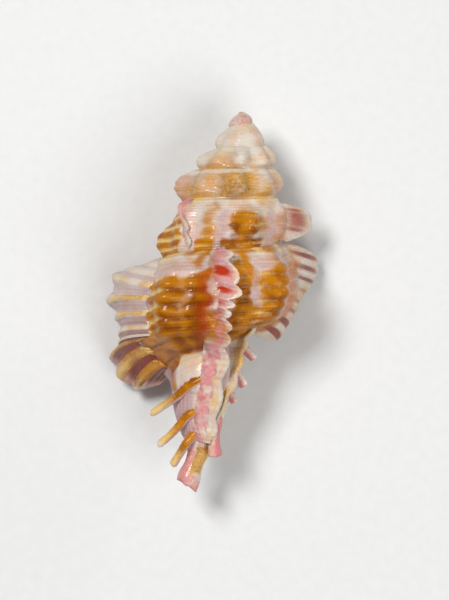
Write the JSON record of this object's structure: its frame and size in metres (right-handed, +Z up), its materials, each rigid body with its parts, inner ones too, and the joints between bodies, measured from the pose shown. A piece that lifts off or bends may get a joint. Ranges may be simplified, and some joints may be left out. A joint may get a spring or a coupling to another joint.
{
  "type": "murex shell",
  "caption": "Spiny, right-coiled sea snail shell with frilled fans, knobbed whorls and a long spined canal, lying on its opening side.",
  "frame": {"origin": "centre of the bottom of the bounding box, on the surface that the shell rests on", "axes": "+Z up, out of the back of the shell; +Y along the shell towards the apex; +X to the right seen from above"},
  "size_m": [0.0244, 0.045, 0.0182],
  "materials": {
    "shell": "semi-gloss shell, amber cords on cream and lilac, with pink frills and red-orange hollows"
  },
  "bodies": {
    "root": {"shell": "shell"}
  },
  "joints": []
}
